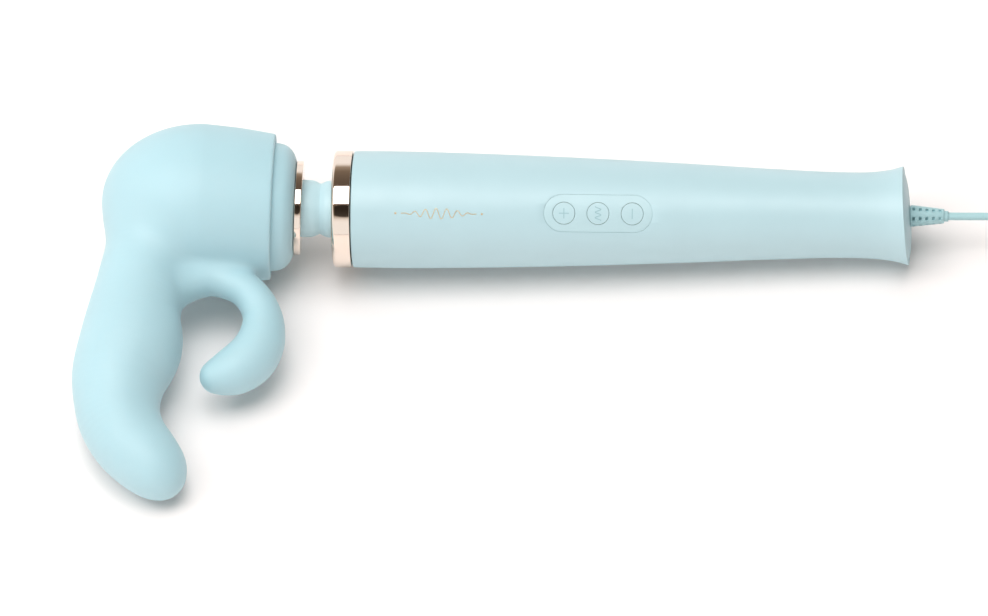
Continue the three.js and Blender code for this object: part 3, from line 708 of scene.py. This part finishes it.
def make_adapter():
    _, _, height = ADAPTER_SIZE
    seam = height / 2
    past = 5  # how far each cutting tool runs past its face
    blade_rows = [ADAPTER_Y + side * BLADE_SPACING / 2 for side in (-1, 1)]
    start, end = ADAPTER_START - past, ADAPTER_START + past
    entry = lathe([(start, 0), (start, 3.2), (end, 3.2), (end, 0)], 32)
    bmesh.ops.translate(entry, verts=entry.verts, vec=(0, ADAPTER_Y, ADAPTER_EXIT_HEIGHT))
    back = adapter_shell("adapter_back", "adapter_back_shell", 0, seam - GAP / 2,
                         (ADAPTER_WALL, seam + past), [entry])
    slots = [prism(rounded_rectangle(BLADE_X, y, 7, 2.1, 0.4), height - past, height + past)
             for y in blade_rows]
    front = adapter_shell("adapter_front", "adapter_front_shell", seam + GAP / 2, height,
                          (seam - past, height - ADAPTER_WALL), slots)

    blades = []
    for y in blade_rows:
        # A flat blade with bevelled corners at its tip and a small hole.
        outline = [(-3.2, 23), (3.2, 23), (3.2, 42.5), (1.7, 44), (-1.7, 44), (-3.2, 42.5)]
        blade = prism(outline, -0.75, 0.75)
        hole = prism(circle(0, 40.4, 1.5, 24), -2, 2)
        blade = boolean(blade, hole, bevel=0.15)
        bmesh.ops.rotate(blade, verts=blade.verts, matrix=Matrix.Rotation(math.pi / 2, 3, "X"))
        bmesh.ops.translate(blade, verts=blade.verts, vec=(BLADE_X, y, 0))
        blades.append(blade)
    bar = prism(rounded_rectangle(BLADE_X, ADAPTER_Y, 6.4, BLADE_SPACING + 6, 0.5), 20.8, 23.2)
    prongs = make_piece("adapter_prongs", joined([bar, *blades]), TABLE, materials["steel"])
    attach(prongs, "handle")
    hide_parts("adapter_blades")

    start = ADAPTER_START
    outline = [(start - 16, 2.0, 0), (start - 16, 2.7, 0.3)]
    for i in range(5):
        x = start - 13.6 + i * 2.6
        r = 2.95 + i * 0.28
        outline += [(x, r, 0.1), (x, r - 0.55, 0.1), (x + 0.9, r - 0.45, 0.1), (x + 0.9, r + 0.1, 0.1)]
    outline += [(start - 0.3, 4.5, 0.2), (start - 0.3, 2.9, 0), (start + 2.3, 2.9, 0),
                (start + 2.3, 4.6, 0), (start + 4, 4.6, 0), (start + 4, 2.0, 0)]
    relief = lathe(filleted(outline, 2), 48)
    bmesh.ops.translate(relief, verts=relief.verts, vec=(0, ADAPTER_Y, ADAPTER_EXIT_HEIGHT))
    relief = make_piece("adapter_cable_boot", relief, TABLE, materials["black"])
    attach(relief, "handle")
    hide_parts("adapter_strain_relief")
    return [back, front, prongs, relief]


# ---- handle


def half_shell(above):
    """The upper or lower half of the handle's casing, open inside, with softened ends."""
    outer = [(x, r) for x, r in HANDLE_CURVE]
    (front, front_radius), (tail, tail_radius) = outer[0], outer[-1]
    start = [(front, front_radius - 1.2), (front + 0.12, front_radius - 0.45),
             (front + 0.45, front_radius - 0.12)]
    end = [(tail - 0.35, tail_radius - 0.08), (tail - 0.05, tail_radius - 0.45), (tail, tail_radius - 1.0)]
    inner = [(x, r - HANDLE_WALL) for x, r in reversed(outer[::4])]
    outline = start + outer[1:-1] + end + inner
    lean = GAP / 2 / 22  # half the gap between the halves, as an angle at a radius of 22 mm
    begin = lean if above else math.pi + lean
    return lathe(outline, 96, begin, math.pi - 2 * lean)


def slant(bm):
    """The tail is cut at a slight slant, further back on its lower side."""
    for vert in bm.verts:
        share = np.clip((vert.co.x - SLANT_START) / (HANDLE_END - SLANT_START), 0, 1)
        vert.co.x -= TAIL_SLANT * vert.co.y * share * share * (3 - 2 * share)


def make_handle():
    outline = stadium(KEYPAD_CENTRE, KEYPAD_LENGTH + 2 * SEAM, KEYPAD_WIDTH + 2 * SEAM)
    opening = prism(outline, *KEYPAD_CUT)
    upper = boolean(half_shell(True), opening, bevel=0.2, bevel_angle=50)
    slant(upper)
    upper = make_piece("handle_top", upper, WAND, materials["shell"])
    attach(upper, "handle")
    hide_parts("handle_upper_shell")
    lower = soften(object_of(half_shell(False)), 0.12, 50)
    slant(lower)
    lower = make_piece("handle_bottom", lower, WAND, materials["shell"])
    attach(lower, "handle")
    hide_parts("handle_lower_shell")

    collar = lathe(filleted([
        (COLLAR_START, 13.4, 0.3), (COLLAR_START, COLLAR_RADIUS, 1.6), (COLLAR_END, COLLAR_RADIUS, 0.25),
        (COLLAR_END, 23.1, 0), (9, 23.1, 0), (9, 13.4, 0),
    ], 8), 192)
    collar = make_piece("rose_gold_collar", collar, WAND, materials["rose_gold"])
    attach(collar, "handle")
    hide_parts("collar_ring")

    inside = HANDLE_END - 3.4
    hole = 4.4
    rim = handle_radius(HANDLE_END) - HANDLE_WALL - GAP
    inner_rim = handle_radius(inside) - HANDLE_WALL - GAP
    domed = [(HANDLE_END - 0.4 + 2 * math.sin(a), hole + (rim - hole) * math.cos(a))
             for a in np.linspace(0, math.pi / 2, 12)]
    cap = lathe([(inside, hole), (inside, inner_rim), *domed], 128)
    slant(cap)
    cap = make_piece("tail_end_cap", cap, WAND, materials["shell"])
    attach(cap, "handle")
    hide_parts("tail_cap")


def make_strain_relief():
    """A tapered boot with rows of small windows and a short neck round the cord."""
    flange = [(246.5, 2.0, 0), (246.5, 7, 0.3), (HANDLE_END - 3.7, 7, 0), (HANDLE_END - 3.7, 4.1, 0),
              (RELIEF_START, 4.1, 0)]
    taper = [(RELIEF_START, 4.75, 0.3), (RELIEF_END - 1, 3.1, 0.35), (RELIEF_END - 1, 2.35, 0.2),
             (RELIEF_END + 0.8, 2.3, 0.3), (RELIEF_END + 0.8, 2.0, 0)]
    body = lathe(filleted(flange + taper, 3), 64)
    windows = []
    for row in range(WINDOW_ROWS):
        x = RELIEF_START + 1.4 + row * 2.85
        for i in range(WINDOWS_ROUND):
            turn = Matrix.Rotation(WINDOW_TURN + TAU * i / WINDOWS_ROUND, 3, "X")
            window = prism(rounded_rectangle(x, 0, 1.25, 1.9 - 0.12 * row, 0.3, 3), 2.4, 8)
            bmesh.ops.rotate(window, verts=window.verts, matrix=turn)
            windows.append(window)
    body = boolean(body, joined(windows), bevel=0.06, bevel_angle=50)
    relief = make_piece("cord_boot", body, WAND, materials["cord"])
    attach(relief, "handle")
    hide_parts("cord_strain_relief")


# ---- keypad


def button_x(name):
    return KEYPAD_CENTRE + BUTTONS[name] * BUTTON_PITCH


def surface_slab(start, end, top_depth, bottom_depth):
    """A slab of the handle's wall between two depths, wider than the keypad."""
    stations = np.linspace(start, end, 40)
    outline = [(x, handle_radius(x) - top_depth) for x in stations]
    outline += [(x, handle_radius(x) - bottom_depth) for x in reversed(stations)]
    return lathe(outline, 64, math.radians(50), math.radians(80))


def make_keypad():
    start = KEYPAD_CENTRE - KEYPAD_LENGTH / 2 - 2
    slab = surface_slab(start, start + KEYPAD_LENGTH + 4, 0.15, 2)
    outline = stadium(KEYPAD_CENTRE, KEYPAD_LENGTH, KEYPAD_WIDTH)
    pad = boolean(slab, prism(outline, *KEYPAD_CUT), "INTERSECT")
    holes = joined([prism(circle(button_x(name), 0, BUTTON_HOLE), *KEYPAD_CUT) for name in BUTTONS])
    pad = boolean(pad, holes, bevel=0.2, bevel_angle=50)
    pad = make_piece("keypad_membrane", pad, WAND, materials["keypad"])
    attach(pad, "handle")
    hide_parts("keypad_pad")
    for name in BUTTONS:
        make_button(name)


def button_height(x, y):
    return handle_height(x, y) - BUTTON_SINK


def button_marks(name):
    """The lines of a button's mark, in its plan, read across the handle."""
    x = button_x(name)
    upright = [(x, y) for y in np.linspace(-2.1, 2.1, 9)]
    if name == "minus":
        return [upright]
    if name == "plus":
        arms = [[(x + s, 0) for s in np.linspace(start, end, 4)] for start, end in ((-2, -0.35), (0.35, 2))]
        return [*arms, upright]
    return [[(x + 1.2 * math.cos(TAU * t * 2.5), -3 + 6 * t) for t in np.linspace(0, 1, 60)]]


def make_button(name):
    x = button_x(name)
    slab = surface_slab(x - 8, x + 8, BUTTON_SINK, 2.6)
    disc = prism(circle(x, 0, BUTTON_RADIUS), *KEYPAD_CUT)
    cap = boolean(slab, disc, "INTERSECT", bevel=0.18, bevel_angle=50)
    stem = prism(circle(x, 0, 1.8, 32), 19.7, handle_radius(x) - 2)
    cap = make_piece(name + "_key", joined([cap, stem]), WAND, materials["keypad"])
    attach(cap, name + "_button")
    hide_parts(name + "_button")
    lines = [stroke(line, 0.4, button_height, 0.07) for line in button_marks(name)]
    marks = make_piece(name + "_mark", joined(lines), WAND, materials["marks"])
    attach(marks, name + "_button")


def make_ornament():
    """A thin gold wave on the handle that swells and dies away, with a dot at each end."""
    lift = 0.035
    wave = []
    for t in np.linspace(0, 1, 160):
        x = ORNAMENT_START + 2.5 + (ORNAMENT_END - ORNAMENT_START - 5) * t
        swell = 2.3 * math.sin(math.pi * t) ** 1.5
        wave.append((x, ORNAMENT_Y + swell * math.sin(TAU * ORNAMENT_WAVES * t)))
    lines = [stroke(wave, 0.34, handle_height, lift)]
    for x in (ORNAMENT_START, ORNAMENT_END):
        dot = [(x - 0.02, ORNAMENT_Y), (x + 0.02, ORNAMENT_Y)]
        lines.append(stroke(dot, 0.9, handle_height, lift, round_steps=8))
    ornament = make_piece("gold_wave_ornament", joined(lines), WAND, materials["gold_foil"])
    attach(ornament, "handle")


# ---- neck


def make_neck():
    """Two soft folds that meet in a groove."""
    front_outer = [
        (-13.2, NECK_RADIUS), (-5.5, NECK_RADIUS), (-3.5, NECK_RADIUS - 0.1), (-1.9, NECK_RADIUS - 0.5),
        (-0.7, NECK_RADIUS - 1.1), (NECK_GROOVE - 0.01, NECK_GROOVE_RADIUS),
    ]
    rear_outer = [
        (NECK_GROOVE + 0.01, NECK_GROOVE_RADIUS), (1.1, NECK_RADIUS - 1.1), (2.3, NECK_RADIUS - 0.5),
        (3.9, NECK_RADIUS - 0.1), (5.2, NECK_RADIUS), (8.6, NECK_RADIUS),
    ]
    at_head = HEAD @ Vector((-9, 0, 0))
    at_handle = WAND @ Vector((8, 0, 0))
    middle = NECK @ Vector((NECK_GROOVE, 0, 0))
    for name, node, outer, bodies, ends in (
        ("neck_fold_front", "neck_boot_front", front_outer, ("head", "neck"), (at_head, middle)),
        ("neck_fold_rear", "neck_boot_rear", rear_outer, ("neck", "handle"), (middle, at_handle)),
    ):
        curve = smooth_path(outer, 5)
        inner = [(x, r - NECK_WALL) for x, r in curve[::-1]]
        # The folds wear the paler silicone, which is painted lighter to stand in for light on the neck.
        fold = make_piece(name, lathe([*curve, *inner], 96), NECK, materials["neck"], 50)
        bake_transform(fold)
        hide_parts(node)

    for name, first, last, bodies, ends in (
        ("neck_spring_front_half", 0, SPRING_SPLIT, ("head", "neck"), (at_head, NECK.translation)),
        ("neck_spring_rear_half", SPRING_SPLIT, SPRING_TURNS, ("neck", "handle"),
         (NECK.translation, at_handle)),
    ):
        path = []
        for t in np.linspace(first, last, round((last - first) * 40)):
            a = TAU * t
            x = SPRING_START + (SPRING_END - SPRING_START) * t / SPRING_TURNS
            path.append((x, SPRING_RADIUS * math.cos(a), SPRING_RADIUS * math.sin(a)))
        spring = make_piece(name, wire(path, SPRING_WIRE_RADIUS, 12), NECK, materials["steel"])
        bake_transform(spring)
        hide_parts("neck_spring")

    # The turning shaft bends where every axis crosses: a ball on the head's half meets the motor's half.
    ball = [(SHAFT_BALL_RADIUS * math.cos(a), SHAFT_BALL_RADIUS * math.sin(a))
            for a in np.linspace(math.pi - 0.71, 0, 17)]
    front = lathe([(SHAFT_START, 0), (SHAFT_START, SHAFT_RADIUS), *ball], 32)
    rear = lathe(filleted([
        (SHAFT_REAR_START, 0, 0), (SHAFT_REAR_START, SHAFT_RADIUS, 0.3), (SHAFT_END, SHAFT_RADIUS, 0),
        (SHAFT_END, 0, 0),
    ], 3), 32)
    for name, shaft, place_of_half, body in (
        ("flexible_shaft_front", front, HEAD, "eccentric"),
        ("flexible_shaft_rear", rear, WAND, "motor_rotor"),
    ):
        half = make_piece(name, shaft, place_of_half, materials["steel"], 40)
        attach(half, body)
        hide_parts("flexible_shaft")


def wire(path, radius, sides):
    """A round closed tube along a path that doesn't run along Z, in the path's own units."""
    line = np.array(path, float)
    along = np.gradient(line, axis=0)
    along /= np.linalg.norm(along, axis=1)[:, None]
    side = np.cross(along, (0.31, 0.17, 0.94))
    side /= np.linalg.norm(side, axis=1)[:, None]
    up = np.cross(side, along)
    bm = bmesh.new()
    angles = [TAU * i / sides for i in range(sides)]
    rings = []
    for p, s, u in zip(line, side, up):
        rings.append([bm.verts.new(p + radius * (math.cos(a) * s + math.sin(a) * u)) for a in angles])
    for near, far in zip(rings, rings[1:]):
        band(bm, near, far)
    bm.faces.new(rings[0])
    bm.faces.new(rings[-1])
    return bm


# ---- head


def forwards(outline):
    """An outline of (distance forwards, radius) as a lathe's (x, r): the head's X runs backwards."""
    return [(-s, r) for s, r in outline]


def make_head():
    ring = filleted([(7.6, 13.6, 0.3), (7.6, 20.5, 0.45), (10.6, 20.5, 0.3), (10.6, 13.6, 0)], 5)
    ring = lathe(forwards(ring), 160)
    ring = make_piece("rose_gold_head_ring", ring, HEAD, materials["rose_gold"])
    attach(ring, "head")
    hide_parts("head_ring")

    shoulder = smooth_path([(10.9, 20.4), (11.3, 21.8), (12.5, 24.2), (15.1, 26.7), (18.9, 27.8),
                            (24, HEAD_RADIUS), (40, HEAD_RADIUS)], 4)
    inner = HEAD_RADIUS - HEAD_SKIN
    outline = [
        (10.9, 14), *shoulder, *dome(HEAD_DOME_START, HEAD_RADIUS, HEAD_TIP, 16),
        *reversed(dome(HEAD_DOME_START, inner, HEAD_TIP - HEAD_SKIN, 12)),
        (20, inner), (13.5, 21), (13.5, 14),
    ]
    skin = make_piece("head_cover", lathe(forwards(outline), 128), HEAD, materials["silicone"])
    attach(skin, "head")
    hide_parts("head_skin")


# ---- sleeve


def profile_distance(points, outline):
    """Signed distance from points to a turned solid. Its open outline starts and ends on the axis."""
    s = points[..., 0]
    r = np.hypot(points[..., 1], points[..., 2])
    nearest = np.full(s.shape, 1e9)
    inside = np.zeros(s.shape, bool)
    for (s0, r0), (s1, r1) in zip(outline, outline[1:]):
        ds, dr = s1 - s0, r1 - r0
        t = np.clip(((s - s0) * ds + (r - r0) * dr) / (ds * ds + dr * dr), 0, 1)
        nearest = np.minimum(nearest, (s - s0 - t * ds) ** 2 + (r - r0 - t * dr) ** 2)
        if ds:
            under = ((s0 > s) != (s1 > s)) & (r < r0 + dr * (s - s0) / ds)
            inside ^= under
    return np.where(inside, -1, 1) * np.sqrt(nearest)


def limb_distance(points, limb):
    """Signed distance from points to a round limb along a curve of (x, y, radius) in the plane z = 0."""
    nearest = np.full(points.shape[:-1], 1e9)
    for a, b in zip(limb, limb[1:]):
        span = b[:2] - a[:2]
        t = np.clip(((points[..., :2] - a[:2]) @ span) / (span @ span), 0, 1)
        dx = points[..., 0] - a[0] - t * span[0]
        dy = points[..., 1] - a[1] - t * span[1]
        away = np.sqrt(dx * dx + dy * dy + points[..., 2] ** 2) - (a[2] + t * (b[2] - a[2]))
        nearest = np.minimum(nearest, away)
    return nearest


def soft_min(a, b, reach):
    h = np.clip(0.5 + 0.5 * (b - a) / reach, 0, 1)
    return b + (a - b) * h - reach * h * (1 - h)


CUP_SHOULDER = (23, 32.05)
CUP_OUTLINE = [
    (SLEEVE_RIM, 0),
    *filleted([(SLEEVE_RIM, SLEEVE_RIM_RADIUS - 2, 0), (SLEEVE_RIM, SLEEVE_RIM_RADIUS, 0.9),
               (*CUP_SHOULDER, 0)], 6)[1:-1],
    *smooth_path([CUP_SHOULDER, (35, 33.6), (SLEEVE_WIDEST, SLEEVE_RADIUS)], 6)[:-1],
    *dome(SLEEVE_WIDEST, SLEEVE_RADIUS, SLEEVE_TIP, 28),
]
ROOM_OUTLINE = [
    (SLEEVE_RIM - 6, 0), (SLEEVE_RIM - 6, HEAD_RADIUS + GAP),
    *dome(HEAD_DOME_START, HEAD_RADIUS + GAP, HEAD_TIP + GAP, 16),
]
ARM_CURVE = smooth_path(LONG_ARM, 5)
CURL_CURVE = smooth_path(CURLED_ARM, 5)


def sleeve_distance(points):
    """Signed distance to the sleeve. X runs forwards along the head and Y runs out to the arms."""
    cup = profile_distance(points, CUP_OUTLINE)
    arm = limb_distance(points, ARM_CURVE)
    curl = limb_distance(points, CURL_CURVE)
    body = soft_min(soft_min(cup, arm, 9), curl, 5)
    return -soft_min(-body, profile_distance(points, ROOM_OUTLINE), 0.9)


def surface_net(values, origin, step):
    """The zero surface of a grid of values, as points and quads."""
    cells = tuple(n - 1 for n in values.shape)
    total = np.zeros(cells + (3,))
    count = np.zeros(cells)
    crossings = []
    for axis in range(3):
        low = np.take(values, range(values.shape[axis] - 1), axis)
        high = np.take(values, range(1, values.shape[axis]), axis)
        crossing = (low < 0) != (high < 0)
        share = np.where(crossing, low / np.where(crossing, low - high, 1), 0)
        crossings.append(crossing)
        index = np.stack(np.meshgrid(*[np.arange(n) for n in low.shape], indexing="ij"), -1).astype(float)
        index[..., axis] += share
        others = [a for a in range(3) if a != axis]
        for da in (0, 1):
            for db in (0, 1):
                part = [slice(None)] * 3
                part[others[0]] = slice(da, da + cells[others[0]])
                part[others[1]] = slice(db, db + cells[others[1]])
                part = tuple(part)
                total += index[part] * crossing[part][..., None]
                count += crossing[part]
    used = count > 0
    numbers = np.full(cells, -1)
    numbers[used] = np.arange(used.sum())
    points = origin + step * total[used] / count[used][:, None]
    quads = []
    for axis in range(3):
        others = [a for a in range(3) if a != axis]
        where = np.argwhere(crossings[axis])
        inner = np.all([(where[:, a] > 0) & (where[:, a] < cells[a]) for a in others], axis=0)
        where = where[inner]
        corners = []
        for da, db in ((1, 1), (0, 1), (0, 0), (1, 0)):
            cell = where.copy()
            cell[:, others[0]] -= da
            cell[:, others[1]] -= db
            corners.append(numbers[tuple(cell.T)])
        quads.append(np.stack(corners, 1))
    return points, np.vstack(quads)


def make_sleeve():
    """The net of the sleeve's surface, then a few rounds that move its points onto the surface itself."""
    step = 0.9
    low = np.array([6.0, -40.0, -37.0])
    high = np.array([108.0, 152.0, 37.0])
    rounds = 4
    counts = np.ceil((high - low) / step).astype(int) + 1
    axes = [low[a] + step * np.arange(counts[a]) for a in range(3)]
    layers = []
    for x in axes[0]:
        grid = np.stack(np.meshgrid([x], axes[1], axes[2], indexing="ij"), -1)
        layers.append(sleeve_distance(grid)[0])
    points, quads = surface_net(np.stack(layers), low, step)
    nudge = 0.05
    for _ in range(rounds):
        value = sleeve_distance(points)
        slope = [(sleeve_distance(points + nudge * axis) - value) / nudge for axis in np.eye(3)]
        slope = np.stack(slope, -1)
        size = np.maximum((slope ** 2).sum(1), 0.2)  # no long jump where the slope is near nothing
        move = -value[:, None] * slope / size[:, None]
        points = points + np.clip(move, -step / 2, step / 2)
    bm = bmesh.new()
    verts = [bm.verts.new((-s, -out, up)) for s, out, up in points]
    for quad in quads:
        bm.faces.new([verts[i] for i in quad])
    sleeve = make_piece("silicone_sleeve", bm, SLEEVE, materials["silicone"], 60)
    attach(sleeve, "sleeve")
    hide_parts("sleeve")


# ---- table and light


def make_floor():
    bm = bmesh.new()
    bmesh.ops.create_grid(bm, x_segments=8, y_segments=8, size=4)
    surface = Surface("pale_table", (0.955, 0.91, 0.90), 0.7)
    surface.mottle(3, 0.004).smudge(20, 0.05).grain(900, 0.00003)
    floor = add_object("table_top", mesh_of("table_top", bm))
    floor.data.materials.append(surface.material)


def area_light(name, location, target, power, width, height, reflected=True):
    data = bpy.data.lights.new(name, "AREA")
    data.shape = "RECTANGLE"
    data.size = width
    data.size_y = height
    data.energy = power
    light = add_object(name, data)
    light.location = location
    light.rotation_euler = (Vector(target) - Vector(location)).to_track_quat("-Z", "Y").to_euler()
    light.visible_camera = False
    light.visible_glossy = reflected


def make_studio():
    """A white sweep low down, a dim ceiling, a dark patch where the camera stands, and a dim right side."""
    world = bpy.data.worlds.new("studio")
    bpy.context.scene.world = world
    world.use_nodes = True
    nodes = world.node_tree.nodes
    links = world.node_tree.links
    direction = nodes.new("ShaderNodeTexCoord").outputs["Generated"]
    height = nodes.new("ShaderNodeSeparateXYZ")
    links.new(direction, height.inputs[0])
    sweep = nodes.new("ShaderNodeValToRGB")
    links.new(height.outputs["Z"], sweep.inputs["Fac"])
    steps = sweep.color_ramp.elements
    for position, colour in SWEEP:
        steps.new(position).color = (*colour, 1)
    steps[0].position = 0.42
    steps[0].color = (1, 1, 1, 1)
    steps[-1].color = (0.11, 0.085, 0.065, 1)
    links.new(sweep.outputs["Color"], nodes["Background"].inputs["Color"])
    towards = nodes.new("ShaderNodeVectorMath")
    towards.operation = "DOT_PRODUCT"
    towards.inputs[1].default_value = (0, -math.sin(DARK_PATCH), math.cos(DARK_PATCH))
    links.new(direction, towards.inputs[0])
    patch_light = (STUDIO_LIGHT, STUDIO_LIGHT * DARK_PATCH_SHARE)
    patch = map_range(world.node_tree, towards.outputs["Value"], (*DARK_PATCH_EDGE, *patch_light))
    side = map_range(world.node_tree, height.outputs["X"], (*DIM_SIDE, 1, DIM_SIDE_SHARE))
    strength = nodes.new("ShaderNodeMath")
    strength.operation = "MULTIPLY"
    links.new(patch, strength.inputs[0])
    links.new(side, strength.inputs[1])
    links.new(strength.outputs[0], nodes["Background"].inputs["Strength"])


def make_light():
    """One wide softbox overhead and to the left, and fills that no surface mirrors."""
    make_studio()
    area_light("key", (-0.8, -0.39, 2.27), (-0.8, 0, 0.02), 34, 2.4, 1.44)
    for name, location, power, size in (
        ("top_fill", (0.3, 0.1, 2.4), 20, 1.6), ("back_fill", (-0.4, 1.1, 2.0), 8.5, 1.1),
        ("left_fill", (-1.7, -0.3, 1.6), 2.8, 1.1), ("front_fill", (0.1, -1.9, 1.4), 2.8, 1.1),
    ):
        area_light(name, location, MIDDLE, power, size, size, False)
    bpy.context.scene.view_settings.view_transform = "Standard"
    bpy.context.scene.view_settings.look = "None"


# ---- the whole

make_camera()
materials = make_materials()
finish_cad_nodes()
cord, cord_exit = make_cord()
on_cord = [make_tie(), *make_adapter()]
make_handle()
make_strain_relief()
make_keypad()
make_ornament()
make_neck()
make_head()
make_sleeve()
make_floor()
make_light()
